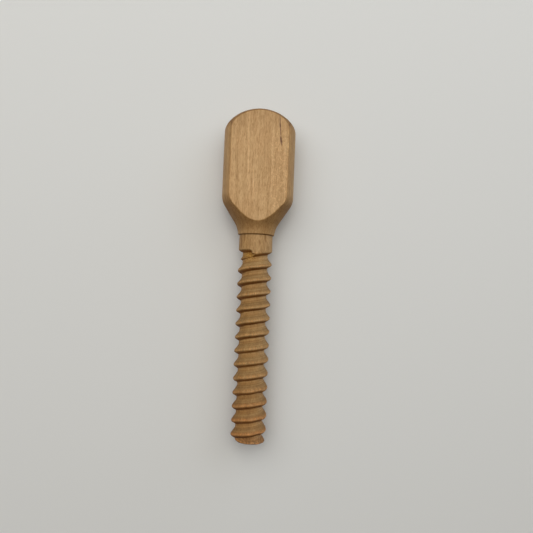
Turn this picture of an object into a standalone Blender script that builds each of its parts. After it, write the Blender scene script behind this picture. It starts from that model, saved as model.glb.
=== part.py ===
"""Wooden screw of a screw nutcracker: a turned paddle handle glued onto a threaded rod.

Metres, +Z up. The screw lies on the back flat of its handle. Its axis runs along Y, with the handle
at +Y and the end that presses on the nut at -Y. The origin is under the middle, on the table.
"""

import math

import bmesh
import bpy

# Whole screw
OVERALL_LENGTH = 0.1480
HANDLE_LENGTH = 0.0567
HANDLE_RADIUS = 0.0160
HANDLE_HALF_THICKNESS = 0.0100

# Handle, from the neck to the domed top
NECK_RADIUS = 0.00805
NECK_EASE_RADIUS = 0.0130
NECK_START_ANGLE = math.radians(6.5)
FLARE_ANGLE = math.radians(33.0)
SHOULDER_RADIUS = 0.0087
DOME_HEIGHT = 0.0107
DOME_POWER = 1.77
SOCKET_ROOM = 0.0003

# Threaded rod
COLLAR_RADIUS = 0.00743
END_RADIUS = 0.00780
TENON_RADIUS = 0.0049
TENON_LENGTH = 0.0220
TENON_CHAMFER = 0.0005

# Thread: right-hand, one start, with a steep flank towards the end and a gentle one towards the head
PITCH = 0.0060
GROOVE_DEPTH = 0.0020
ROOT_WIDTH = 0.0010
STEEP_FLANK_WIDTH = 0.00105
GENTLE_FLANK_WIDTH = 0.0030
START_BELOW_COLLAR_TOP = 0.0085
START_ANGLE = math.radians(108.0)
DWELL_TURNS = 0.64

# Wood of the two pieces
HANDLE_COLOUR = (0.540, 0.318, 0.134)
HANDLE_ROUGHNESS = 0.55
ROD_COLOUR = (0.432, 0.248, 0.100)
ROD_ROUGHNESS = 0.60

# Fineness of the meshes
HANDLE_SIDES = 56
ROD_SIDES = 32
ARC_STEP = math.radians(12.0)
DOME_STEPS = 9
SHARP_EDGE_ANGLE = math.radians(28.0)
CUT_TOLERANCE = 1e-7
SAME_POINT_DISTANCE = 1e-9

# Worked-out places along the axis
TOP_Y = OVERALL_LENGTH / 2
NECK_Y = TOP_Y - HANDLE_LENGTH
COLLAR_TOP_Y = NECK_Y - SOCKET_ROOM
END_Y = -OVERALL_LENGTH / 2
AXIS_Z = HANDLE_HALF_THICKNESS


def remove_scene_objects():
    for scene_object in list(bpy.data.objects):
        bpy.data.objects.remove(scene_object, do_unlink=True)


def wood_material(name, colour, roughness):
    material = bpy.data.materials.new(name)
    material.use_nodes = True
    shader = material.node_tree.nodes["Principled BSDF"]
    shader.inputs["Base Color"].default_value = (*colour, 1.0)
    shader.inputs["Roughness"].default_value = roughness
    shader.inputs["Metallic"].default_value = 0.0
    material.diffuse_color = (*colour, 1.0)
    material.roughness = roughness
    return material


def object_from_bmesh(name, shape, material):
    bmesh.ops.recalc_face_normals(shape, faces=shape.faces)
    mesh = bpy.data.meshes.new(name)
    shape.to_mesh(mesh)
    shape.free()
    mesh.materials.append(material)
    mesh.shade_smooth()
    mesh.set_sharp_from_angle(angle=SHARP_EDGE_ANGLE)
    part = bpy.data.objects.new(name, mesh)
    bpy.context.scene.collection.objects.link(part)
    part.location = (0.0, 0.0, AXIS_Z)
    return part


def point_at(shape, radius, angle, y):
    """A vertex at this radius and angle round the axis. The angle runs from +X towards +Z."""
    return shape.verts.new((radius * math.cos(angle), y, radius * math.sin(angle)))


def arc_points(centre, radius, first_angle, last_angle):
    """Points (radius, y) along an arc in the profile plane, ends included."""
    steps = max(2, round(abs(last_angle - first_angle) / ARC_STEP))
    points = []
    for step in range(steps + 1):
        angle = first_angle + (last_angle - first_angle) * step / steps
        points.append((centre[0] + radius * math.cos(angle), centre[1] + radius * math.sin(angle)))
    return points


def flare_points():
    """The neck's concave ease, a straight cone and the convex shoulder, each tangent to the next."""
    ease_centre = (
        NECK_RADIUS + NECK_EASE_RADIUS * math.cos(NECK_START_ANGLE),
        NECK_Y - NECK_EASE_RADIUS * math.sin(NECK_START_ANGLE),
    )
    ease = arc_points(ease_centre, NECK_EASE_RADIUS, math.pi - NECK_START_ANGLE, math.pi - FLARE_ANGLE)
    cone_start = ease[-1]
    cone_end_radius = HANDLE_RADIUS - SHOULDER_RADIUS * (1.0 - math.cos(FLARE_ANGLE))
    cone_end_y = cone_start[1] + (cone_end_radius - cone_start[0]) / math.tan(FLARE_ANGLE)
    shoulder_centre = (
        HANDLE_RADIUS - SHOULDER_RADIUS,
        cone_end_y + SHOULDER_RADIUS * math.sin(FLARE_ANGLE),
    )
    shoulder = arc_points(shoulder_centre, SHOULDER_RADIUS, -FLARE_ANGLE, 0.0)
    return ease + shoulder


def dome_points():
    """A quarter of a superellipse, from the widest part up to, but not including, the very top."""
    points = []
    for step in range(DOME_STEPS):
        angle = math.pi / 2 * step / DOME_STEPS
        radius = HANDLE_RADIUS * math.cos(angle) ** (2.0 / DOME_POWER)
        rise = DOME_HEIGHT * math.sin(angle) ** (2.0 / DOME_POWER)
        points.append((radius, TOP_Y - DOME_HEIGHT + rise))
    return points


def handle_profile():
    """Points (radius, y) from the floor of the socket, round the neck, to the dome."""
    socket_radius = TENON_RADIUS + SOCKET_ROOM
    socket_floor_y = COLLAR_TOP_Y + TENON_LENGTH + SOCKET_ROOM
    socket = [(socket_radius, socket_floor_y), (socket_radius, NECK_Y)]
    return socket + flare_points() + dome_points()


def turned_shape(profile, first_y, last_y, sides):
    """A closed turned body. Its profile starts and ends on the axis, at first_y and last_y."""
    shape = bmesh.new()
    rings = []
    for radius, y in profile:
        rings.append([point_at(shape, radius, math.tau * side / sides, y) for side in range(sides)])
    for ring, next_ring in zip(rings, rings[1:]):
        for side in range(sides):
            after = (side + 1) % sides
            shape.faces.new((ring[side], ring[after], next_ring[after], next_ring[side]))
    for ring, pole_y in ((rings[0], first_y), (rings[-1], last_y)):
        pole = shape.verts.new((0.0, pole_y, 0.0))
        for side in range(sides):
            shape.faces.new((ring[side], ring[(side + 1) % sides], pole))
    return shape


def cut_flat(shape, point, outward):
    """Cuts away what lies beyond the plane and closes the cut with one flat face."""
    geometry = list(shape.verts) + list(shape.edges) + list(shape.faces)
    cut = bmesh.ops.bisect_plane(
        shape, geom=geometry, dist=CUT_TOLERANCE, plane_co=point, plane_no=outward, clear_outer=True
    )
    rim = [item for item in cut["geom_cut"] if isinstance(item, bmesh.types.BMEdge)]
    bmesh.ops.contextual_create(shape, geom=rim)


def make_handle():
    profile = handle_profile()
    shape = turned_shape(profile, profile[0][1], TOP_Y, HANDLE_SIDES)
    cut_flat(shape, (0.0, 0.0, HANDLE_HALF_THICKNESS), (0.0, 0.0, 1.0))
    cut_flat(shape, (0.0, 0.0, -HANDLE_HALF_THICKNESS), (0.0, 0.0, -1.0))
    material = wood_material("handle_beech", HANDLE_COLOUR, HANDLE_ROUGHNESS)
    return object_from_bmesh("paddle_handle", shape, material)


def rod_radius(y):
    """The rod's outer radius, which grows a little from the collar to the end."""
    share = (COLLAR_TOP_Y - y) / (COLLAR_TOP_Y - END_Y)
    return COLLAR_RADIUS + (END_RADIUS - COLLAR_RADIUS) * min(max(share, 0.0), 1.0)


def groove_middle(turns):
    """The y of the groove's middle. The cutter dwells for part of a turn before it starts to feed."""
    return COLLAR_TOP_Y - START_BELOW_COLLAR_TOP - PITCH * max(0.0, turns - DWELL_TURNS)


def ridge_edge(turns):
    """Where the groove's gentle flank ends, and where the next turn's steep flank starts.

    They are two (radius, y) points with the ridge's flat crest between them, or the same point
    where the two turns are so close that their flanks meet below the crest.
    """
    root_end_y = groove_middle(turns) - ROOT_WIDTH / 2
    next_root_y = groove_middle(turns + 1.0) + ROOT_WIDTH / 2
    flank_end_y = root_end_y - GENTLE_FLANK_WIDTH
    next_flank_y = next_root_y + STEEP_FLANK_WIDTH
    if flank_end_y > next_flank_y:
        return (rod_radius(flank_end_y), flank_end_y), (rod_radius(next_flank_y), next_flank_y)
    height = (root_end_y - next_root_y) / (STEEP_FLANK_WIDTH + GENTLE_FLANK_WIDTH)
    meeting_y = next_root_y + STEEP_FLANK_WIDTH * height
    meeting = (rod_radius(meeting_y) - GROOVE_DEPTH * (1.0 - height), meeting_y)
    return meeting, meeting


def groove_rows(shape):
    """Four helical rows of vertices: steep flank's top, the root's two edges, gentle flank's top."""
    turns_needed = DWELL_TURNS + (groove_middle(0.0) - END_Y) / PITCH + 2.0
    steps = math.ceil(turns_needed * ROD_SIDES)
    rows = []
    for step in range(steps + 1):
        turns = step / ROD_SIDES
        angle = START_ANGLE + math.tau * turns
        middle = groove_middle(turns)
        if step < ROD_SIDES:
            steep_top = (rod_radius(middle), middle + ROOT_WIDTH / 2 + STEEP_FLANK_WIDTH)
        else:
            steep_top = ridge_edge(turns - 1.0)[1]
        gentle_top = ridge_edge(turns)[0]
        root_radius = rod_radius(middle) - GROOVE_DEPTH
        outline = (
            steep_top,
            (root_radius, middle + ROOT_WIDTH / 2),
            (root_radius, middle - ROOT_WIDTH / 2),
            gentle_top,
        )
        rows.append([point_at(shape, radius, angle, y) for radius, y in outline])
    return rows


def join_meeting_flanks(shape, rows):
    """Merges the two ridge edges where the flanks of two turns meet in one line."""
    merges = {}
    for step in range(len(rows) - ROD_SIDES):
        below, above = rows[step][3], rows[step + ROD_SIDES][0]
        if (below.co - above.co).length < SAME_POINT_DISTANCE:
            merges[above] = below
            rows[step + ROD_SIDES][0] = below
    bmesh.ops.weld_verts(shape, targetmap=merges)


def add_face(shape, corners):
    """A face through these corners, leaving out a corner that repeats."""
    different = list(dict.fromkeys(corners))
    if len(different) > 2:
        shape.faces.new(different)


def add_groove_faces(shape, rows):
    add_face(shape, rows[0])
    for step in range(len(rows) - 1):
        here, after = rows[step], rows[step + 1]
        for edge in range(3):
            add_face(shape, (here[edge], here[edge + 1], after[edge + 1], after[edge]))


def add_crest_faces(shape, rows):
    for step in range(len(rows) - ROD_SIDES - 1):
        here, after = rows[step][3], rows[step + 1][3]
        below, below_after = rows[step + ROD_SIDES][0], rows[step + ROD_SIDES + 1][0]
        add_face(shape, (here, after, below_after, below))


def add_collar_and_tenon(shape, rows):
    """The plain collar above the groove, its shoulder, and the tenon that the handle's socket takes."""
    outline = (
        (COLLAR_RADIUS, COLLAR_TOP_Y),
        (TENON_RADIUS, COLLAR_TOP_Y),
        (TENON_RADIUS, COLLAR_TOP_Y + TENON_LENGTH - TENON_CHAMFER),
        (TENON_RADIUS - TENON_CHAMFER, COLLAR_TOP_Y + TENON_LENGTH),
    )
    rings = []
    for radius, y in outline:
        angles = [START_ANGLE + math.tau * side / ROD_SIDES for side in range(ROD_SIDES)]
        rings.append([point_at(shape, radius, angle, y) for angle in angles])
    for side in range(ROD_SIDES - 1):
        add_face(shape, (rings[0][side], rings[0][side + 1], rows[side + 1][0], rows[side][0]))
    last = ROD_SIDES - 1
    start_wall = (rows[0][0], rows[0][3], rows[ROD_SIDES][0])
    add_face(shape, (rings[0][last], rings[0][0], *start_wall, rows[last][0]))
    for ring, next_ring in zip(rings, rings[1:]):
        for side in range(ROD_SIDES):
            after = (side + 1) % ROD_SIDES
            add_face(shape, (ring[side], ring[after], next_ring[after], next_ring[side]))
    add_face(shape, rings[-1])


def make_rod():
    shape = bmesh.new()
    rows = groove_rows(shape)
    join_meeting_flanks(shape, rows)
    add_groove_faces(shape, rows)
    add_crest_faces(shape, rows)
    add_collar_and_tenon(shape, rows)
    cut_flat(shape, (0.0, END_Y, 0.0), (0.0, -1.0, 0.0))
    material = wood_material("screw_beech", ROD_COLOUR, ROD_ROUGHNESS)
    return object_from_bmesh("threaded_screw", shape, material)


remove_scene_objects()
make_handle()
make_rod()
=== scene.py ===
"""Looks of the nutcracker screw: a turned beech handle with two flats, glued onto a threaded rod.

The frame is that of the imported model: the axis runs along Y, the handle is at +Y, +Z is up, and the
screw lies on the back flat of its handle at Z = 0. Shapes are in metres. Materials are in millimetres.
"""

import math

import bpy
import mathutils
import numpy as np
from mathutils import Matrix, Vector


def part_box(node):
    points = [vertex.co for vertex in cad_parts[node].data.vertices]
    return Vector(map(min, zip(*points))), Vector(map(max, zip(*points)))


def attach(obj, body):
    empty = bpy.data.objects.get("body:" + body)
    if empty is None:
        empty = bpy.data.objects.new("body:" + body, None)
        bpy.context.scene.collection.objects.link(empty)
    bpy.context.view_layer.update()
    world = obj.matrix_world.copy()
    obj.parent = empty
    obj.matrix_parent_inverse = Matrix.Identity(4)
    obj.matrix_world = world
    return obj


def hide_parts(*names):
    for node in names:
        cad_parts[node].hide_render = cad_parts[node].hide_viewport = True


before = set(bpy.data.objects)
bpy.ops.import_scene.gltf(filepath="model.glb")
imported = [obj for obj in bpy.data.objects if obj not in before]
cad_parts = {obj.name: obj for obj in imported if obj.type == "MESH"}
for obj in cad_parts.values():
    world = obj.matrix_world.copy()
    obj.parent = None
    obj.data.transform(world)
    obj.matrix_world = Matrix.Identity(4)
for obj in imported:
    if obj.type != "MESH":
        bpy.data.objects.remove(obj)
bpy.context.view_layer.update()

HANDLE_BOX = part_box("paddle_handle")
ROD_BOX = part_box("threaded_screw")

# Places along the axis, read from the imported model
TOP_Y = HANDLE_BOX[1][1]
NECK_Y = HANDLE_BOX[0][1]
END_Y = ROD_BOX[0][1]
AXIS_Z = (HANDLE_BOX[0][2] + HANDLE_BOX[1][2]) / 2
SOCKET_ROOM = 0.0003
COLLAR_TOP_Y = NECK_Y - SOCKET_ROOM

# Handle
HANDLE_RADIUS = (HANDLE_BOX[1][0] - HANDLE_BOX[0][0]) / 2
FLAT_HEIGHT = (HANDLE_BOX[1][2] - HANDLE_BOX[0][2]) / 2
NECK_RADIUS = 0.00805
NECK_EASE_RADIUS = 0.0130
NECK_START_ANGLE = math.radians(6.5)
FLARE_ANGLE = math.radians(33.0)
SHOULDER_RADIUS = 0.0087
DOME_HEIGHT = 0.0107
DOME_POWER = 1.77
LIP_ROUNDING = 0.00010
VISIBLE_GAP = 0.00011
TOP_POINT_RADIUS = 0.00005
SOCKET_POINT_RADIUS = 0.0005
LIP_POINTS = 6
ARC_POINTS = 24
DOME_POINTS = 60
HANDLE_ROW_SPACING = 0.00026
HANDLE_SIDES = 288
ANGLE_SAMPLES = 4001
EDGE_CROWDING = 3.0
EDGE_CROWDING_ANGLE = math.radians(5.0)
ARRIS_SOFTNESS = 0.00016
ARRIS_SOFTNESS_CHANGE = 0.00009
ARRIS_SOFTNESS_LEAST = 0.00006
# Width of the arrises' wear and painted highlight
ARRIS_WEAR_AND_HIGHLIGHT_WIDTH = 0.00030
PLANED_EDGE = 0.00010
SANDING_WAVE = 0.00004
SANDING_MOST = 2.5

# Rod and tenon
COLLAR_RADIUS = 0.00743
END_RADIUS = 0.00780
TENON_RADIUS = 0.0049
TENON_LENGTH = 0.0220
TENON_CHAMFER = 0.0005
TENON_END_SHARES = (0.05, 0.5, 0.9, 1.0, 1.0)
END_FACE_SHARES = (0.9, 0.75, 0.6, 0.45, 0.3, 0.15, 0.03)
ROD_SIDES = 176
ROD_ROW_SPACING = 0.000166
TOP_ROUNDING_ROWS = 4
END_ROUNDING_ROWS = 12
TOP_ROUNDING = 0.00010
TOP_ROUNDING_LENGTH = 0.0003
END_ROUNDING = (0.00035, 0.00190)
END_ROUNDING_LENGTH = 0.0011
WORN_SIDE_ANGLE = math.radians(150.0)
TRIM_LENGTH = 0.0030
TRIM_DEPTH = 0.00015
TRIMMED_SIDE_ANGLE = math.radians(10.0)

# Thread. A range along the rod is measured from the part's middle towards the rod's end.
PITCH = 0.0060
GROOVE_DEPTH = 0.0020
ROOT_WIDTH = 0.0010
STEEP_FLANK_WIDTH = 0.00105
GENTLE_FLANK_WIDTH = 0.0030
FLANK_MEETING = 0.05
ROOT_SOFTNESS = 0.0003
START_BELOW_COLLAR_TOP = 0.0085
START_ANGLE = math.radians(108.0)
DWELL_TURNS = 0.64
START_REACH = 0.0040
START_FLATTENING = 1.6
START_BLEND = 0.00010
STRAY_UP = 0.00042
STRAY_UP_Y = -0.0277
STRAY_UP_REACH = 0.021
STRAY_DOWN = 0.00012
STRAY_DOWN_RANGE = (0.050, 0.072)
LEFT_STRAY = 0.00026
RIGHT_STRAY = (0.00022, 0.00062)
SIDE_STRAY_RANGE = (0.010, 0.055)
SIDE_STRAY_START_RANGE = (-0.009, -0.002)
SIDE_COSINES = (0.55, 0.95)  # of the angle from the side
WANDER = 0.00008
STEEP_EDGE = (0.00070, 0.00100)
GENTLE_EDGE = (0.00014, 0.00045)
FLANK_POWERS = (1.45, 1.15)
WEAR_RANGE = (0.020, 0.050)

# Chips and tears of the thread
CREST_DEPTH = 0.00005
CREST_BAND = 0.00045
CREST_START_RANGE = (-0.0095, -0.0085)
CHIP_DEPTH = 0.00045
CHIP_STEP = (0.9, 2.0)
CHIP_LEAST = 0.35
FRONT_RISE = 0.003
FIRST_RIDGE_Y = 0.0062
FIRST_RIDGE_REACH = 0.0016
FIRST_RIDGE_WEAR = 0.00022
TORN_DEPTH = 0.00016
TORN_TIP = 0.35
TORN_FIRST_RIDGE = 0.3
POCKET_PLACE = (-0.0030, 0.0082)
POCKET_REACH = (0.0034, 0.0020)
CUT_RANGE = (0.0002, 0.0008)
CUTTER_WAVE = 0.00004
TIP_ROUGH_LENGTH = 0.0036
TIP_BLEND = 0.0012
STEEP_SLOPE = (0.00012, 0.00028)

# Smooth noises: seed, shortest wave, longest wave
SANDING_NOISE = (11, 0.006, 0.020)
ARRIS_NOISE = (12, 0.002, 0.008)
WANDER_NOISE = (21, 0.006, 0.015)
CHIP_NOISE = (22, 0.0007, 0.0028)
TORN_NOISE = (23, 0.0005, 0.0018)
FIRST_RIDGE_NOISE = (24, 0.001, 0.003)
CUTTER_NOISE = (25, 0.0010, 0.0040)


def smooth_min(first, second, softness):
    """The smaller of two arrays, with the corner between them rounded over this difference."""
    blend = np.clip(0.5 + 0.5 * (second - first) / softness, 0.0, 1.0)
    return second + (first - second) * blend - softness * blend * (1.0 - blend)


def smooth_max(first, second, softness):
    """The larger of two arrays, with the corner between them rounded over this difference."""
    return -smooth_min(-first, -second, softness)


def smooth_step(value, low, high):
    """0 up to the low value, 1 from the high one, and a smooth rise between them."""
    share = np.clip((value - low) / (high - low), 0.0, 1.0)
    return share * share * (3.0 - 2.0 * share)


def between(ends, share):
    return ends[0] + (ends[1] - ends[0]) * share


def bell(value, width):
    return np.exp(-((value / width) ** 2))


def facing(angles, middle):
    """1 at the middle angle, falling to 0 on the opposite side."""
    return 0.5 + 0.5 * np.cos(angles - middle)


def waves(points, seed, shortest, longest, count=30):
    """Smooth noise of about -1 to 1 at each point: plane waves of seeded directions and lengths."""
    draw = np.random.default_rng(seed)
    total = np.zeros(points.shape[:-1])
    for _ in range(count):
        direction = draw.normal(size=3)
        direction /= np.linalg.norm(direction)
        length = math.exp(draw.uniform(math.log(shortest), math.log(longest)))
        phase = draw.uniform(0.0, math.tau)
        total += np.sin(points @ direction * (math.tau / length) + phase)
    return total / math.sqrt(count)


# ---------------------------------------------------------------- turned surfaces


def arc(centre, radius, first_angle, last_angle, count):
    angles = np.linspace(first_angle, last_angle, count)
    return [(centre[0] + radius * math.cos(a), centre[1] + radius * math.sin(a)) for a in angles]


def even_points(points, spacing):
    """The same outline with its points an even distance apart."""
    points = np.array(points)
    lengths = np.r_[0.0, np.cumsum(np.linalg.norm(np.diff(points, axis=0), axis=1))]
    at = np.linspace(0.0, lengths[-1], max(2, round(lengths[-1] / spacing)) + 1)
    return np.column_stack([np.interp(at, lengths, points[:, k]) for k in (0, 1)])


def handle_outline():
    """(radius, y) from the neck's lip over the flare, the straight side and the dome to the top."""
    lip_y = COLLAR_TOP_Y + VISIBLE_GAP
    lip_centre = (NECK_RADIUS - LIP_ROUNDING, lip_y + LIP_ROUNDING)
    lip = arc(lip_centre, LIP_ROUNDING, -math.pi / 2, -NECK_START_ANGLE, LIP_POINTS)
    ease_centre = (
        lip[-1][0] + NECK_EASE_RADIUS * math.cos(NECK_START_ANGLE),
        lip[-1][1] - NECK_EASE_RADIUS * math.sin(NECK_START_ANGLE),
    )
    ease_angles = (math.pi - NECK_START_ANGLE, math.pi - FLARE_ANGLE)
    ease = arc(ease_centre, NECK_EASE_RADIUS, *ease_angles, ARC_POINTS)
    shoulder_drop = SHOULDER_RADIUS * (1.0 - math.cos(FLARE_ANGLE))
    cone_rise = (HANDLE_RADIUS - shoulder_drop - ease[-1][0]) / math.tan(FLARE_ANGLE)
    shoulder_centre = (
        HANDLE_RADIUS - SHOULDER_RADIUS,
        ease[-1][1] + cone_rise + SHOULDER_RADIUS * math.sin(FLARE_ANGLE),
    )
    shoulder = arc(shoulder_centre, SHOULDER_RADIUS, -FLARE_ANGLE, 0.0, ARC_POINTS)
    dome = []
    for angle in np.linspace(0.0, math.pi / 2, DOME_POINTS)[:-1]:
        radius = HANDLE_RADIUS * math.cos(angle) ** (2.0 / DOME_POWER)
        rise = DOME_HEIGHT * math.sin(angle) ** (2.0 / DOME_POWER)
        dome.append((radius, TOP_Y - DOME_HEIGHT + rise))
    return lip + ease + shoulder + dome + [(TOP_POINT_RADIUS, TOP_Y)]


def surface_points(radius, angles, y):
    """Points round the axis: one row for each y, one column for each angle."""
    radius, angles, y = np.broadcast_arrays(radius, angles[None, :], y[:, None])
    return np.stack([radius * np.cos(angles), y, AXIS_Z + radius * np.sin(angles)], axis=-1)


def mesh_from_rings(name, rings, marks):
    """A closed mesh through rings of points, with a fan at each end, and a float for each mark."""
    count, sides = rings.shape[:2]
    points = np.vstack([rings.reshape(-1, 3), rings[0].mean(axis=0), rings[-1].mean(axis=0)])
    side = np.arange(sides)
    after = (side + 1) % sides
    faces = []
    for ring in range(count - 1):
        low = ring * sides
        high = low + sides
        faces.append(np.column_stack([low + side, high + side, high + after, low + after]))
    faces = np.vstack(faces).tolist()
    first, last = count * sides, count * sides + 1
    top = (count - 1) * sides
    faces += [(first, s, a) for s, a in zip(side.tolist(), after.tolist())]
    faces += [(last, top + a, top + s) for s, a in zip(side.tolist(), after.tolist())]
    mesh = bpy.data.meshes.new(name)
    mesh.from_pydata(points.tolist(), [], faces)
    mesh.validate()
    mesh.shade_smooth()
    for mark, values in marks.items():
        attribute = mesh.attributes.new(mark, "FLOAT", "POINT")
        attribute.data.foreach_set("value", np.r_[values.ravel(), 0.0, 0.0].astype(np.float32))
    piece = bpy.data.objects.new(name, mesh)
    bpy.context.scene.collection.objects.link(piece)
    return piece


def handle_angles(sides):
    """Angles round the axis, closer together beside the four edges of the flats."""
    edge = math.asin(FLAT_HEIGHT / HANDLE_RADIUS)
    fine = np.linspace(0.0, math.tau, ANGLE_SAMPLES)
    density = np.ones_like(fine)
    for middle in (edge, math.pi - edge, math.pi + edge, math.tau - edge):
        density += EDGE_CROWDING * bell(fine - middle, EDGE_CROWDING_ANGLE)
    share = np.r_[0.0, np.cumsum((density[1:] + density[:-1]) / 2)]
    return np.interp(np.arange(sides) / sides * share[-1], share, fine)


def make_handle():
    """The handle: the smaller of the turned outline and the two flats, with the socket inside."""
    outline = even_points(handle_outline(), HANDLE_ROW_SPACING)
    angles = handle_angles(HANDLE_SIDES)
    turned, y = outline[:, 0], outline[:, 1]
    flat = FLAT_HEIGHT / np.maximum(np.abs(np.sin(angles)), 1e-6)
    rough = surface_points(np.minimum(turned[:, None], flat[None, :]), angles, y)
    sanding = -SANDING_WAVE * np.clip(1.0 + waves(rough, *SANDING_NOISE), 0.0, SANDING_MOST)
    softness = ARRIS_SOFTNESS + ARRIS_SOFTNESS_CHANGE * waves(rough, *ARRIS_NOISE)
    softness = np.maximum(softness, ARRIS_SOFTNESS_LEAST)
    flat = np.broadcast_to(flat, rough.shape[:2]) + sanding
    turned = np.broadcast_to(turned[:, None], flat.shape)
    radius = np.minimum(smooth_min(turned, flat, softness), turned)
    shell = surface_points(radius, angles, y)
    # Along the arrises: wear and a painted highlight
    arris = bell(turned - flat, ARRIS_WEAR_AND_HIGHLIGHT_WIDTH)
    planed = smooth_step(turned - flat, -PLANED_EDGE, PLANED_EDGE)

    socket_radius = TENON_RADIUS + SOCKET_ROOM
    socket_floor = COLLAR_TOP_Y + TENON_LENGTH + SOCKET_ROOM
    socket_y = np.array([socket_floor, socket_floor, COLLAR_TOP_Y + VISIBLE_GAP])
    socket_radii = np.array([SOCKET_POINT_RADIUS, socket_radius, socket_radius])
    socket = surface_points(socket_radii[:, None], angles, socket_y)
    inside = np.zeros(socket.shape[:2])
    marks = {"arris": np.vstack([inside, arris]), "planed": np.vstack([inside, planed])}
    return mesh_from_rings("turned_handle", np.concatenate([socket, shell]), marks)


# ---------------------------------------------------------------- rod and thread


def rod_radius(y):
    share = (COLLAR_TOP_Y - y) / (COLLAR_TOP_Y - END_Y)
    return COLLAR_RADIUS + (END_RADIUS - COLLAR_RADIUS) * np.clip(share, 0.0, 1.0)


def groove_middle(turns):
    """The y of the groove's middle. The hand-cut groove strays a little from an even pitch."""
    even = COLLAR_TOP_Y - START_BELOW_COLLAR_TOP - PITCH * np.maximum(0.0, turns - DWELL_TURNS)
    upwards = STRAY_UP * bell(even - STRAY_UP_Y, STRAY_UP_REACH)
    return even + upwards - STRAY_DOWN * smooth_step(-even, *STRAY_DOWN_RANGE)


def side_stray(angle, y):
    """How far the groove strays towards the end at the rod's left and right."""
    left = smooth_step(-np.cos(angle), *SIDE_COSINES)
    right = smooth_step(np.cos(angle), *SIDE_COSINES)
    right_stray = between(RIGHT_STRAY, smooth_step(-y, *SIDE_STRAY_RANGE))
    below_start = smooth_step(-y, *SIDE_STRAY_START_RANGE)
    return below_start * (LEFT_STRAY * left + right_stray * right)


def cut_depth(offset, wear):
    """The groove's depth this far from its middle. A positive offset is towards the handle."""
    steep = (ROOT_WIDTH / 2 + STEEP_FLANK_WIDTH - offset) / STEEP_FLANK_WIDTH
    run = -(offset + ROOT_WIDTH / 2) / GENTLE_FLANK_WIDTH
    power = between(FLANK_POWERS, wear)
    gentle = np.where(run < 1.0, 1.0 - np.maximum(run, 0.0) ** power, power * (1.0 - run))
    depth = GROOVE_DEPTH * smooth_min(steep, gentle, FLANK_MEETING)
    return smooth_min(depth, np.full_like(depth, GROOVE_DEPTH), ROOT_SOFTNESS)


def rounded_cut(offset, wear):
    """The groove's depth, with the crest rounded over more on its steep side and where it is worn."""
    depth = cut_depth(offset, wear)
    softness = np.where(offset > 0, between(STEEP_EDGE, wear), between(GENTLE_EDGE, wear))
    return smooth_max(depth, np.zeros_like(depth), softness)


def thread_depth(angle, y, wear):
    """How deep the groove cuts at each angle and y. It starts with the cutter's blunt footprint."""
    turn = np.mod(angle - START_ANGLE, math.tau) / math.tau
    depth = np.zeros_like(y)
    turns_most = int((groove_middle(0.0) - END_Y) / PITCH) + 3
    for whole in range(turns_most):
        depth = np.maximum(depth, rounded_cut(y - groove_middle(turn + whole), wear))
    before_start = (1.0 - turn) * math.tau * COLLAR_RADIUS
    offset = y - groove_middle(0.0)
    reach = np.sqrt(offset**2 + before_start**2 * START_FLATTENING**2)
    footprint = rounded_cut(np.where(offset > 0, reach, -reach), wear)
    return np.where(before_start < START_REACH, smooth_max(depth, footprint, START_BLEND), depth)


def rod_rows():
    """The y of each row of points, from the collar's top to the end."""
    full_top = COLLAR_TOP_Y - TOP_ROUNDING_LENGTH
    full_end = END_Y + END_ROUNDING_LENGTH
    return np.r_[
        COLLAR_TOP_Y - np.linspace(0.0, TOP_ROUNDING_LENGTH, TOP_ROUNDING_ROWS)[:-1],
        np.arange(full_top, full_end, -ROD_ROW_SPACING),
        END_Y + END_ROUNDING_LENGTH * np.cos(np.linspace(0.0, math.pi / 2, END_ROUNDING_ROWS)),
    ]


def edge_rounding(angles, y):
    """How far the collar's top edge and the end's edge are rounded in. One side of the end is worn."""
    top = np.clip(1.0 - (COLLAR_TOP_Y - y) / TOP_ROUNDING_LENGTH, 0.0, 1.0)
    end = np.clip(1.0 - (y - END_Y) / END_ROUNDING_LENGTH, 0.0, 1.0)
    top_reach = TOP_ROUNDING * (1.0 - np.sqrt(1.0 - top**2))
    end_reach = between(END_ROUNDING, facing(angles, WORN_SIDE_ANGLE) ** 2)
    return top_reach[:, None] + end_reach[None, :] * (1.0 - np.sqrt(1.0 - end**2))[:, None]


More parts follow.
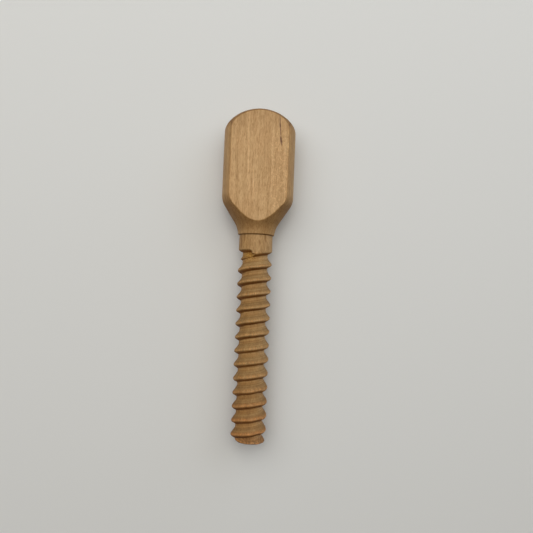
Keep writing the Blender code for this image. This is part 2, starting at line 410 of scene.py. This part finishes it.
def make_rod():
    """The rod: a cylinder that widens towards its end, less the groove, its chips and its wear."""
    angles = START_ANGLE + (np.arange(ROD_SIDES) + 0.5) / ROD_SIDES * math.tau
    y = rod_rows()
    full = np.broadcast_to(rod_radius(y)[:, None], (len(y), ROD_SIDES))
    rough = surface_points(full, angles, y)
    across = rough[..., 1]
    turning = np.broadcast_to(angles, full.shape)
    wear = smooth_step(-across, *WEAR_RANGE)
    wander = waves(rough, *WANDER_NOISE) * WANDER
    depth = thread_depth(turning, across + wander + side_stray(turning, across), wear)

    # Where the chips, tears and wear are
    front = smooth_step(rough[..., 2], AXIS_Z, AXIS_Z + FRONT_RISE)
    crest = bell(depth - CREST_DEPTH, CREST_BAND) * smooth_step(-across, *CREST_START_RANGE)
    first_ridge = bell(across - FIRST_RIDGE_Y, FIRST_RIDGE_REACH) * front
    pocket = bell(across - POCKET_PLACE[1], POCKET_REACH[1])
    pocket = pocket * bell(rough[..., 0] - POCKET_PLACE[0], POCKET_REACH[0]) * front
    cut = smooth_step(depth, *CUT_RANGE)
    tip = smooth_step(END_Y + TIP_ROUGH_LENGTH - across, 0.0, TIP_BLEND)
    trimmed = facing(angles, TRIMMED_SIDE_ANGLE) ** 2
    trimmed = TRIM_DEPTH * trimmed * smooth_step(END_Y + TRIM_LENGTH - across, 0.0, TIP_BLEND)

    chips = smooth_step(waves(rough, *CHIP_NOISE), *CHIP_STEP) * CHIP_DEPTH
    torn = waves(rough, *TORN_NOISE) * TORN_DEPTH
    ridge_wear = 1.0 + waves(rough, *FIRST_RIDGE_NOISE)
    radius = full - depth
    radius = radius - chips * crest * between((CHIP_LEAST, 1.0), np.maximum(first_ridge, tip))
    radius = radius - FIRST_RIDGE_WEAR * first_ridge * crest * ridge_wear
    radius = radius + torn * (pocket * cut + TORN_TIP * tip + TORN_FIRST_RIDGE * first_ridge)
    radius = radius + waves(rough, *CUTTER_NOISE) * CUTTER_WAVE * cut
    radius = radius - trimmed
    shell = surface_points(np.minimum(radius, full) - edge_rounding(angles, y), angles, y)

    tenon_end = COLLAR_TOP_Y + TENON_LENGTH
    tenon_y = np.array([tenon_end, tenon_end, tenon_end, tenon_end - TENON_CHAMFER, COLLAR_TOP_Y])
    tenon_radii = TENON_RADIUS * np.array(TENON_END_SHARES)
    tenon = surface_points(tenon_radii[:, None], angles, tenon_y)
    last = np.hypot(shell[-1, :, 0], shell[-1, :, 2] - AXIS_Z)
    shares = np.array(END_FACE_SHARES)
    end_face = surface_points(last[None, :] * shares[:, None], angles, np.full(len(shares), END_Y))
    rings = np.concatenate([tenon, shell, end_face])[::-1]

    on_shell = {
        "depth": depth / GROOVE_DEPTH,
        "crest": crest,
        "pocket": pocket * cut,
        "tip": tip,
        "steep": smooth_step(np.gradient(depth, axis=0), *STEEP_SLOPE),
    }
    before, after = np.zeros(tenon.shape[:2]), np.zeros(end_face.shape[:2])
    marks = {mark: np.vstack([before, values, after])[::-1] for mark, values in on_shell.items()}
    return mesh_from_rings("turned_rod", rings, marks)


# ---------------------------------------------------------------- materials

# Colours of the two woods: dark, middle and light
HANDLE_COLOURS = ((0.400, 0.222, 0.082), (0.540, 0.318, 0.134), (0.670, 0.425, 0.205))
ROD_COLOURS = ((0.318, 0.170, 0.060), (0.432, 0.248, 0.100), (0.560, 0.345, 0.156))
TONE_POSITIONS = (0.12, 0.52, 0.92)

# Tints of both woods, which the colour is multiplied by
FLECK_TINT = (0.78, 0.71, 0.60, 1.0)
PALE_TINT = (1.20, 1.24, 1.34, 1.0)
# Wear on the rod's crests, and wear with a painted highlight on the handle's arrises
WEAR_AND_HIGHLIGHT_TINT = (1.26, 1.13, 0.98, 1.0)
SPOT_TINT = (0.62, 0.52, 0.40, 1.0)

# Tints of the handle
TURNED_TINT = (0.86, 0.84, 0.77, 1.0)
HANDLE_END_TINT = (0.66, 0.60, 0.49, 1.0)
PINK_TINT = (1.01, 0.99, 0.98, 1.0)
SPECKLE_TINT = (1.26, 1.30, 1.40, 1.0)
# Painted light from the right on the flare
FLARE_RIGHT_PAINTED_LIGHT_TINT = (1.13, 1.17, 1.18, 1.0)
TOP_TINT = (0.89, 0.87, 0.83, 1.0)
MINERAL_TINT = (0.20, 0.105, 0.085, 1.0)

# Tints of the rod
# Painted light: warmer on the rod's left, paler and cooler on its right
LEFT_PAINTED_LIGHT_TINT = (1.0, 0.98, 0.905, 1.0)
RIGHT_PAINTED_LIGHT_TINT = (1.065, 1.085, 1.125, 1.0)
TIPWARD_TINT = (0.94, 0.88, 0.82, 1.0)
RUDDY_TINT = (1.09, 0.97, 0.91, 1.0)
ROD_END_TINT = (0.73, 0.72, 0.65, 1.0)
FLANK_TINT = (0.905, 0.90, 0.885, 1.0)
# Dirt and painted shade in the groove's root; a cool painted light on the root's right
ROOT_DIRT_AND_PAINTED_SHADE_TINT = (0.925, 0.86, 0.72, 1.0)
RIGHT_ROOT_PAINTED_LIGHT_TINT = (1.20, 1.24, 1.28, 1.0)
# Painted shade on the steep flank
STEEP_FLANK_PAINTED_SHADE_TINT = (0.84, 0.60, 0.25, 1.0)
# Painted light in the deep pocket, over its yellow torn-wood colour
POCKET_TORN_WOOD_AND_PAINTED_LIGHT_TINT = (1.32, 1.30, 0.80, 1.0)
TIP_TINT = (0.80, 0.75, 0.76, 1.0)
SPLINTER_TINT = (2.05, 1.95, 2.00, 1.0)

# Noises of the wood: waves in a millimetre along x, y and z, detail, roughness.
# The first group follows the bent grain.
GRAIN_NOISES = {
    "fibre": ((2.5, 0.36, 2.5), 4.0, 0.78),
    "streak": ((0.62, 0.020, 0.62), 3.0, 0.6),
    "fleck": ((2.6, 0.50, 2.6), 1.0, 0.55),
    "pale_fleck": ((1.9, 0.62, 1.9), 1.5, 0.55),
}
PLACE_NOISES = {
    "hue": ((0.24, 0.075, 0.24), 2.0, 0.55),
    "mottle": ((0.42, 0.24, 0.42), 3.0, 0.6),
    "pores": ((5.5, 1.3, 5.5), 2.0, 0.55),
    "speck": ((1.5, 1.1, 1.5), 2.0, 0.7),
}
BEND_NOISE = ((0.10, 0.030, 0.10), 1.0, 0.55)
BEND_REACH = 3.0
LONG_LINE_NOISE = ((1.5, 0.014, 1.5), 2.0, 0.55)
BEAD_NOISE = ((0.1, 0.45, 0.1), 1.0, 0.55)

# Steps from place to place in one tree that the pieces are cut from, and its pith's (x, z)
PIECE_OFFSET = (13.7, 171.3, 29.1)
PITH = (-61.0, -24.0)
RINGS_PER_MM = 0.38
RING_RISE = (0.15, 0.92)
RING_FALL = (0.93, 1.0, 1.0, 0.0)

# How much each noise changes the tone
TONE_MIDDLE = 0.53
FIBRE_TONE = 1.75
STREAK_TONE = 0.62
MOTTLE_TONE = 0.55
RING_TONE = 0.10
LONG_LINE_TONE = 0.75
LONG_LINE_FIBRE_TONE = 0.35
CUTTER_LINE_TONE = 1.9

END_GRAIN_START = 0.03
END_GRAIN_SLOPE = 2.1
LINE_FADE = 1.5

# Finish. The bump's distance is in metres.
SPECULAR_LEVEL = 0.32
HANDLE_ROUGHNESS = 0.50
ROD_ROUGHNESS = 0.58
ROUGHNESS_DROP = 0.10
FIBRE_ROUGHNESS = 0.16
END_GRAIN_ROUGHNESS = 0.16
MOTTLE_ROUGHNESS = 0.10
FLECK_RELIEF = 0.35
SIDE_PORE_SHARE = 0.25
BUMP_STRENGTH = 0.55
BUMP_DISTANCE = 0.00010

# Steps on the handle: from, to, and where given the values at both ends
HUE_STEP = (0.40, 0.62)
HANDLE_FLECK_STEP = (0.54, 0.66, 0.0, 0.75)
HANDLE_FRONT_STEP = (0.6, 0.95)
SPECKLE_X_STEP = (1.0, 8.5)
SPECKLE_Y_STEP = (56.0, 66.0, 1.0, 0.0)
SPECKLE_STEP = (0.54, 0.64)
SPECKLES_ELSEWHERE = 0.10
FLARE_X_STEP = (4.5, 9.0)
FLARE_Y_STEP = (24.0, 27.0, 1.0, 0.0)
TOP_STEP = (58.0, 71.0)
BEAD_STEP = (0.42, 0.62, 0.66, 1.0)
ARRIS_MOTTLE_STEP = (0.3, 0.6, 0.3, 1.0)
ARRIS_FRONT_STEP = (0.5, 0.9)
ARRIS_SHARE = 0.15
PORE_STEP = (0.50, 0.66)
PORE_SHARE = 0.40

# Lines and spots of the handle's wood: start (x, y), end (x, y), width
HANDLE_PALE_LINES = (
    ((-5.6, 69.0), (-4.2, 36.0), 0.75),
    ((-2.5, 46.0), (-1.9, 33.0), 0.6),
    ((-5.6, 70.0), (-5.2, 62.0), 0.9),
)
HANDLE_PALE_SHARE = 0.85
HANDLE_DARK_LINES = (
    ((-7.9, 73.0), (-6.3, 60.0), 0.9),
    ((5.7, 71.0), (6.6, 66.0), 0.35),
)
HANDLE_DARK_SHARE = 0.45
HANDLE_SPOTS = (
    ((-13.0, 65.9), (-12.6, 64.9), 0.8),
    ((12.9, 66.3), (12.6, 65.3), 0.8),
)
HANDLE_SPOT_SHARE = 0.8
MINERAL_LINE = ((7.85, 72.0), (9.20, 56.6), 0.34)
MINERAL_BEADS = (
    ((8.95, 58.9), (9.20, 57.4), 0.70),
    ((8.42, 65.0), (8.50, 64.3), 0.50),
)

# Steps on the rod
ROD_FLECK_STEP = (0.57, 0.68, 0.0, 0.75)
PALE_FLECK_STEP = (0.60, 0.70, 0.0, 0.5)
ROD_SIDE_STEP = (-6.0, 8.0)
TIPWARD_STEP = (-68.0, -36.0, 1.0, 0.0)
CUTTER_LINE_STEP = (0.08, 0.35)
FLANK_RISE = (0.10, 0.30)
FLANK_FALL = (0.60, 1.0, 1.0, 0.0)
ROOT_STEP = (0.55, 0.95)
RIGHT_ROOT_STEP = (0.5, 5.5)
WORN_STEP = (0.46, 0.60)
RAGGED_STEP = (0.46, 0.54, 1.0, 0.0)
SPLINTER_STEP = (0.49, 0.58)
SPLINTER_RISE = (0.5, 2.6)
SPLINTERS_ABOVE = 0.1
COLLAR_FRONT_STEP = (0.2, 0.6)

# Fine lines that the cutter left along the thread: how close together they are, detail, roughness
CUTTER_LINES_ACROSS = 1.7
CUTTER_LINES_ALONG = 0.10
CUTTER_LINE_DETAIL = 3.0
CUTTER_LINE_ROUGHNESS = 0.7

# Lines of the collar's wood: start (x, y), end (x, y), width
COLLAR_DARK_LINES = (
    ((-6.4, 16.2), (-6.4, 12.0), 0.55),
    ((-5.0, 16.8), (-5.1, 14.2), 0.45),
    ((3.9, 16.8), (4.1, 14.4), 0.55),
    ((1.5, 13.8), (1.6, 13.2), 0.8),
)
COLLAR_DARK_SHARE = 0.8
COLLAR_PALE_LINE = ((5.0, 16.6), (5.2, 14.8), 1.0)
COLLAR_PALE_SHARE = 0.7


class Graph:
    """A material's node tree, built from values and sockets."""

    def __init__(self, name):
        self.material = bpy.data.materials.new(name)
        self.material.use_nodes = True
        self.tree = self.material.node_tree
        self.shader = self.tree.nodes["Principled BSDF"]

    def put(self, socket, value):
        if isinstance(value, bpy.types.NodeSocket):
            self.tree.links.new(value, socket)
        else:
            socket.default_value = value

    def node(self, kind, inputs=(), **settings):
        node = self.tree.nodes.new(kind)
        for key, value in settings.items():
            setattr(node, key, value)
        for key, value in dict(inputs).items():
            self.put(node.inputs[key], value)
        return node

    def math(self, operation, first, second=0.0, clamp=False):
        inputs = {0: first, 1: second}
        return self.node("ShaderNodeMath", inputs, operation=operation, use_clamp=clamp).outputs[0]

    def product(self, first, *others):
        for other in others:
            first = self.math("MULTIPLY", first, other)
        return first

    def add(self, first, second):
        return self.math("ADD", first, second)

    def less(self, first, second):
        return self.math("SUBTRACT", first, second)

    def swing(self, noise, reach):
        """A noise of 0 to 1 turned into a change that goes this far in all."""
        return self.product(self.less(noise, 0.5), reach)

    def vector(self, operation, first, second=(0.0, 0.0, 0.0)):
        return self.node("ShaderNodeVectorMath", {0: first, 1: second}, operation=operation)

    def axes(self, vector):
        return self.node("ShaderNodeSeparateXYZ", {0: vector}).outputs

    def noise(self, place, stretch, detail, roughness):
        place = self.vector("MULTIPLY", place, stretch).outputs[0]
        inputs = {"Vector": place, "Scale": 1.0, "Detail": detail, "Roughness": roughness}
        return self.node("ShaderNodeTexNoise", inputs).outputs["Fac"]

    def step(self, value, low, high, first=0.0, last=1.0):
        inputs = {"Value": value, "From Min": low, "From Max": high, "To Min": first, "To Max": last}
        return self.node("ShaderNodeMapRange", inputs, interpolation_type="SMOOTHSTEP").outputs[0]

    def mix(self, factor, first, second, blend="MIX"):
        inputs = {0: factor, 6: first, 7: second}
        return self.node("ShaderNodeMix", inputs, data_type="RGBA", blend_type=blend).outputs[2]

    def tint(self, factor, colour, tint):
        return self.mix(factor, colour, tint, "MULTIPLY")

    def mark(self, name):
        return self.node("ShaderNodeAttribute", attribute_name=name).outputs["Fac"]

    def line(self, x, y, start, end, width):
        """1 on a straight line between two (x, y) places, falling to 0 beside it and past its ends."""
        slope = (end[0] - start[0]) / (end[1] - start[1])
        middle = self.add(self.product(self.less(y, start[1]), slope), start[0])
        distance = self.math("ABSOLUTE", self.less(x, middle))
        low, high = sorted((start[1], end[1]))
        ends = self.product(
            self.step(y, low - LINE_FADE, low),
            self.step(y, high, high + LINE_FADE, 1.0, 0.0),
        )
        return self.product(self.step(distance, 0.0, width, 1.0, 0.0), ends)

    def lines(self, x, y, lines):
        total = self.line(x, y, *lines[0])
        for line in lines[1:]:
            total = self.add(total, self.line(x, y, *line))
        return total


def beech(name, place_number):
    """Steamed beech: straight fine grain, growth rings, short flecks, and darker end grain."""
    graph = Graph(name)
    offset = [step * place_number for step in PIECE_OFFSET]
    coordinates = graph.node("ShaderNodeTexCoord").outputs
    millimetres = graph.vector("MULTIPLY", coordinates["Object"], (1000.0, 1000.0, 1000.0)).outputs[0]
    x, y, z = graph.axes(millimetres)
    place = graph.vector("ADD", millimetres, offset).outputs[0]

    bend = graph.swing(graph.noise(place, *BEND_NOISE), BEND_REACH)
    bend = graph.node("ShaderNodeCombineXYZ", {0: bend, 2: bend}).outputs[0]
    grain = graph.vector("ADD", place, bend).outputs[0]

    from_pith = graph.vector("SUBTRACT", grain, (PITH[0] + offset[0], 0.0, PITH[1] + offset[2])).outputs[0]
    from_pith = graph.vector("MULTIPLY", from_pith, (1.0, 0.0, 1.0)).outputs[0]
    from_pith = graph.vector("LENGTH", from_pith).outputs["Value"]
    ring = graph.math("FRACT", graph.product(from_pith, RINGS_PER_MM))
    ring = graph.product(graph.step(ring, *RING_RISE), graph.step(ring, *RING_FALL))

    wood = {noise: graph.noise(grain, *settings) for noise, settings in GRAIN_NOISES.items()}
    wood.update({noise: graph.noise(place, *settings) for noise, settings in PLACE_NOISES.items()})

    normal = graph.axes(coordinates["Normal"])
    end_grain = graph.less(graph.math("ABSOLUTE", normal[1]), END_GRAIN_START)
    end_grain = graph.math("MULTIPLY", end_grain, END_GRAIN_SLOPE, clamp=True)

    tone = graph.swing(wood["fibre"], FIBRE_TONE)
    tone = graph.add(tone, graph.swing(wood["streak"], STREAK_TONE))
    tone = graph.add(tone, graph.swing(wood["mottle"], MOTTLE_TONE))
    tone = graph.less(tone, graph.product(ring, RING_TONE))
    tone = graph.add(tone, TONE_MIDDLE)
    wood.update(x=x, y=y, z=z, place=place, grain=grain, tone=tone, end_grain=end_grain, upward=normal[2])
    return graph, wood


def wood_colour(graph, tone, colours):
    """The tone turned into a colour between the wood's dark, middle and light ones."""
    node = graph.node("ShaderNodeValToRGB", {0: tone})
    node.color_ramp.elements.new(TONE_POSITIONS[1])
    for element, position, colour in zip(node.color_ramp.elements, TONE_POSITIONS, colours):
        element.position = position
        element.color = (*colour, 1.0)
    return node.outputs[0]


def finish_wood(graph, wood, colour, height, roughness):
    """Connects the colour, a roughness that follows the grain, and the fine relief."""
    graph.put(graph.shader.inputs["Base Color"], colour)
    rough = graph.product(wood["fibre"], FIBRE_ROUGHNESS)
    rough = graph.add(rough, graph.product(wood["end_grain"], END_GRAIN_ROUGHNESS))
    rough = graph.add(rough, graph.product(wood["mottle"], MOTTLE_ROUGHNESS))
    graph.put(graph.shader.inputs["Roughness"], graph.add(rough, roughness - ROUGHNESS_DROP))
    graph.put(graph.shader.inputs["Specular IOR Level"], SPECULAR_LEVEL)
    relief = graph.less(height, graph.product(wood["fleck"], FLECK_RELIEF))
    pores = graph.product(wood["pores"], graph.step(wood["end_grain"], 0.0, 1.0, SIDE_PORE_SHARE, 1.0))
    relief = graph.less(relief, pores)
    bump = {"Strength": BUMP_STRENGTH, "Distance": BUMP_DISTANCE, "Height": relief}
    graph.put(graph.shader.inputs["Normal"], graph.node("ShaderNodeBump", bump).outputs[0])


def handle_material():
    graph, wood = beech("handle_beech", 1.0)
    x, y = wood["x"], wood["y"]
    front = graph.step(wood["upward"], *HANDLE_FRONT_STEP)
    long_lines = graph.swing(graph.noise(wood["grain"], *LONG_LINE_NOISE), LONG_LINE_TONE)
    tone = graph.add(wood["tone"], long_lines)
    tone = graph.less(tone, graph.swing(wood["fibre"], LONG_LINE_FIBRE_TONE))
    colour = wood_colour(graph, tone, HANDLE_COLOURS)
    colour = graph.tint(graph.step(wood["hue"], *HUE_STEP), colour, PINK_TINT)
    colour = graph.tint(graph.step(wood["fleck"], *HANDLE_FLECK_STEP), colour, FLECK_TINT)

    # Pale and dark streaks of this piece of wood
    pale = graph.product(graph.lines(x, y, HANDLE_PALE_LINES), front, HANDLE_PALE_SHARE)
    colour = graph.tint(pale, colour, PALE_TINT)
    dark = graph.product(graph.lines(x, y, HANDLE_DARK_LINES), HANDLE_DARK_SHARE)
    colour = graph.tint(dark, colour, FLECK_TINT)
    spots = graph.product(graph.lines(x, y, HANDLE_SPOTS), HANDLE_SPOT_SHARE)
    colour = graph.tint(spots, colour, SPOT_TINT)

    # Pale speckles, most of them along the right of the front
    right = graph.product(graph.step(x, *SPECKLE_X_STEP), graph.step(y, *SPECKLE_Y_STEP))
    speckles = graph.product(
        graph.step(wood["speck"], *SPECKLE_STEP),
        graph.step(right, 0.0, 1.0, SPECKLES_ELSEWHERE, 1.0),
        front,
    )
    colour = graph.tint(speckles, colour, SPECKLE_TINT)

    # Painted light: the right of the flare is painted paler and cooler, as a light from the right would
    # make it. The colour is also darker towards the top
    flare = graph.product(graph.step(x, *FLARE_X_STEP), graph.step(y, *FLARE_Y_STEP))
    colour = graph.tint(flare, colour, FLARE_RIGHT_PAINTED_LIGHT_TINT)
    colour = graph.tint(graph.step(y, *TOP_STEP), colour, TOP_TINT)

    # A thin mineral line with darker beads
    bead = graph.step(graph.noise(wood["place"], *BEAD_NOISE), *BEAD_STEP)
    line = graph.product(graph.line(x, y, *MINERAL_LINE), bead, front)
    for wide in MINERAL_BEADS:
        line = graph.math("MAXIMUM", line, graph.product(graph.line(x, y, *wide), front))
    colour = graph.tint(line, colour, MINERAL_TINT)

    # Worn arrises with a painted highlight along them, turned surfaces, and end grain on the flare and the
    # dome
    arris = graph.product(
        graph.mark("arris"),
        graph.step(wood["mottle"], *ARRIS_MOTTLE_STEP),
        graph.step(wood["upward"], *ARRIS_FRONT_STEP),
        ARRIS_SHARE,
    )
    colour = graph.tint(arris, colour, WEAR_AND_HIGHLIGHT_TINT)
    colour = graph.tint(graph.less(1.0, graph.mark("planed")), colour, TURNED_TINT)
    colour = graph.tint(wood["end_grain"], colour, HANDLE_END_TINT)
    open_pores = graph.product(graph.step(wood["pores"], *PORE_STEP), wood["end_grain"], PORE_SHARE)
    colour = graph.tint(open_pores, colour, FLECK_TINT)

    finish_wood(graph, wood, colour, wood["fibre"], HANDLE_ROUGHNESS)
    return graph.material


def cutter_lines(graph, wood):
    """Fine lines that run along the thread, as noise on a screw-shaped path."""
    height = graph.less(wood["z"], AXIS_Z * 1000.0)
    phase = graph.math("ARCTAN2", height, wood["x"])
    phase = graph.add(phase, graph.product(wood["y"], math.tau / (PITCH * 1000.0)))
    place = graph.node("ShaderNodeCombineXYZ", {
        0: graph.math("COSINE", phase),
        1: graph.math("SINE", phase),
        2: wood["y"],
    }).outputs[0]
    stretch = (CUTTER_LINES_ACROSS, CUTTER_LINES_ACROSS, CUTTER_LINES_ALONG)
    return graph.noise(place, stretch, CUTTER_LINE_DETAIL, CUTTER_LINE_ROUGHNESS)


def rod_material():
    graph, wood = beech("rod_beech", 4.0)
    x, y = wood["x"], wood["y"]
    front = graph.step(wood["upward"], *COLLAR_FRONT_STEP)
    depth, crest, pocket, tip = (graph.mark(name) for name in ("depth", "crest", "pocket", "tip"))
    lines = cutter_lines(graph, wood)
    cut = graph.step(depth, *CUTTER_LINE_STEP)
    lines_tone = graph.less(graph.swing(lines, CUTTER_LINE_TONE), graph.less(wood["fibre"], 0.5))
    tone = graph.add(wood["tone"], graph.product(lines_tone, cut))
    colour = wood_colour(graph, tone, ROD_COLOURS)
    colour = graph.tint(graph.step(wood["fleck"], *ROD_FLECK_STEP), colour, FLECK_TINT)
    colour = graph.tint(graph.step(wood["pale_fleck"], *PALE_FLECK_STEP), colour, PALE_TINT)

    # Painted light: warmer on the left, and a paler, cooler painted sheen on the right. The rod is also
    # redder and darker towards the tip
    left, right = graph.tint(1.0, colour, LEFT_PAINTED_LIGHT_TINT), graph.tint(1.0, colour, RIGHT_PAINTED_LIGHT_TINT)
    colour = graph.mix(graph.step(x, *ROD_SIDE_STEP), left, right)
    tipward = graph.step(y, *TIPWARD_STEP)
    colour = graph.tint(tipward, colour, TIPWARD_TINT)

    # The thread's flanks, crests and root, with painted shade and painted light in the groove, and the
    # pocket where it starts
    flank = graph.product(graph.step(depth, *FLANK_RISE), graph.step(depth, *FLANK_FALL))
    colour = graph.tint(flank, colour, FLANK_TINT)
    colour = graph.tint(graph.product(crest, graph.step(wood["speck"], *WORN_STEP)), colour, WEAR_AND_HIGHLIGHT_TINT)
    colour = graph.tint(graph.product(crest, tipward), colour, RUDDY_TINT)
    colour = graph.tint(wood["end_grain"], colour, ROD_END_TINT)
    # The root: darkened by dirt and painted shade, and lifted by a cool painted light on the right
    root_dirt_painted_shade_and_light = graph.mix(graph.step(x, *RIGHT_ROOT_STEP), ROOT_DIRT_AND_PAINTED_SHADE_TINT, RIGHT_ROOT_PAINTED_LIGHT_TINT)
    colour = graph.tint(graph.step(depth, *ROOT_STEP), colour, root_dirt_painted_shade_and_light)
    # Painted shade on the steep flank, which faces away from the lights
    colour = graph.tint(graph.mark("steep"), colour, STEEP_FLANK_PAINTED_SHADE_TINT)
    # Painted light lifts the deep pocket, over its yellow torn-wood colour
    colour = graph.tint(pocket, colour, POCKET_TORN_WOOD_AND_PAINTED_LIGHT_TINT)
    ragged = graph.product(pocket, graph.step(wood["speck"], *RAGGED_STEP))
    colour = graph.tint(ragged, colour, SPOT_TINT)

    # Dark and pale streaks on the collar
    dark = graph.product(graph.lines(x, y, COLLAR_DARK_LINES), front, COLLAR_DARK_SHARE)
    colour = graph.tint(dark, colour, SPOT_TINT)
    pale = graph.product(graph.line(x, y, *COLLAR_PALE_LINE), front, COLLAR_PALE_SHARE)
    colour = graph.tint(pale, colour, PALE_TINT)

    # The rough tip and its splinters
    colour = graph.tint(tip, colour, TIP_TINT)
    splinter_places = [END_Y * 1000.0 + rise for rise in SPLINTER_RISE]
    splinters = graph.product(
        graph.step(y, *splinter_places, 1.0, SPLINTERS_ABOVE),
        graph.step(wood["speck"], *SPLINTER_STEP),
        tip,
    )
    colour = graph.tint(splinters, colour, SPLINTER_TINT)

    relief = graph.add(wood["fibre"], graph.product(lines, cut))
    finish_wood(graph, wood, colour, relief, ROD_ROUGHNESS)
    return graph.material


# ---------------------------------------------------------------- floor, light and camera

FLOOR_SIZE = 4.0
FLOOR_DROP = 0.0001
PAPER_COLOUR = (0.750, 0.741, 0.722, 1.0)
PAPER_ROUGHNESS = 0.9
PAPER_SPECULAR_LEVEL = 0.1

WORLD_COLOUR = (1.0, 0.89, 0.81, 1.0)
WORLD_STRENGTH = 0.096

# Name, lean from the vertical, turn towards the left, watts, colour
SOFTBOXES = (
    ("left_softbox", math.radians(30.0), math.radians(40.0), 5.08, (0.985, 1.0, 0.992)),
    ("right_softbox", math.radians(30.0), math.radians(-40.0), 2.93, (1.0, 0.983, 0.887)),
    ("low_right_softbox", math.radians(75.0), math.radians(-45.0), 2.63, (0.64, 0.79, 1.0)),
)
SOFTBOX_DISTANCE = 0.9
SOFTBOX_SIZE = 0.9

CAMERA_HEIGHT = 0.2392
CAMERA_X = -0.0021
CAMERA_Y = -0.0063
CAMERA_TILT = math.radians(2.24)
CAMERA_SIDE = math.radians(-1.845)
CAMERA_ROLL = math.radians(2.28)
CAMERA_LENS = 36.07
CAMERA_SENSOR = 36.0
CAMERA_CLIP = 0.01


def make_camera():
    data = bpy.data.cameras.new("camera")
    data.sensor_width = CAMERA_SENSOR
    data.lens = CAMERA_LENS
    data.clip_start = CAMERA_CLIP
    camera = bpy.data.objects.new("camera", data)
    camera.location = (CAMERA_X, CAMERA_Y, AXIS_Z + CAMERA_HEIGHT)
    camera.rotation_euler = (CAMERA_TILT, CAMERA_SIDE, CAMERA_ROLL)
    bpy.context.scene.collection.objects.link(camera)
    bpy.context.scene.camera = camera


def make_floor():
    bpy.ops.mesh.primitive_plane_add(size=FLOOR_SIZE, location=(0.0, 0.0, -FLOOR_DROP))
    floor = bpy.context.object
    floor.name = "paper_floor"
    material = bpy.data.materials.new("paper")
    material.use_nodes = True
    inputs = material.node_tree.nodes["Principled BSDF"].inputs
    inputs["Base Color"].default_value = PAPER_COLOUR
    inputs["Roughness"].default_value = PAPER_ROUGHNESS
    inputs["Specular IOR Level"].default_value = PAPER_SPECULAR_LEVEL
    floor.data.materials.append(material)


def make_world():
    world = bpy.data.worlds.new("world")
    bpy.context.scene.world = world
    world.use_nodes = True
    inputs = world.node_tree.nodes["Background"].inputs
    inputs["Color"].default_value = WORLD_COLOUR
    inputs["Strength"].default_value = WORLD_STRENGTH


def add_softbox(name, from_vertical, towards_left, power, colour):
    """A square softbox aimed at the part. It leans towards the handle's end, turned to the left."""
    away = mathutils.Vector((
        -math.sin(from_vertical) * math.sin(towards_left),
        math.sin(from_vertical) * math.cos(towards_left),
        math.cos(from_vertical),
    ))
    data = bpy.data.lights.new(name, "AREA")
    data.shape = "SQUARE"
    data.size = SOFTBOX_SIZE
    data.energy = power
    data.color = colour
    light = bpy.data.objects.new(name, data)
    light.location = away * SOFTBOX_DISTANCE
    light.rotation_euler = away.to_track_quat("Z", "Y").to_euler()
    bpy.context.scene.collection.objects.link(light)


bpy.context.scene.view_settings.view_transform = "Standard"
make_camera()
make_floor()
make_world()
for softbox in SOFTBOXES:
    add_softbox(*softbox)

handle = make_handle()
handle.data.materials.append(handle_material())
rod = make_rod()
rod.data.materials.append(rod_material())
for piece, node, slot in (
    (handle, "paddle_handle", "handle_wood"),
    (rod, "threaded_screw", "screw_wood"),
):
    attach(piece, "root")
    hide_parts(node)
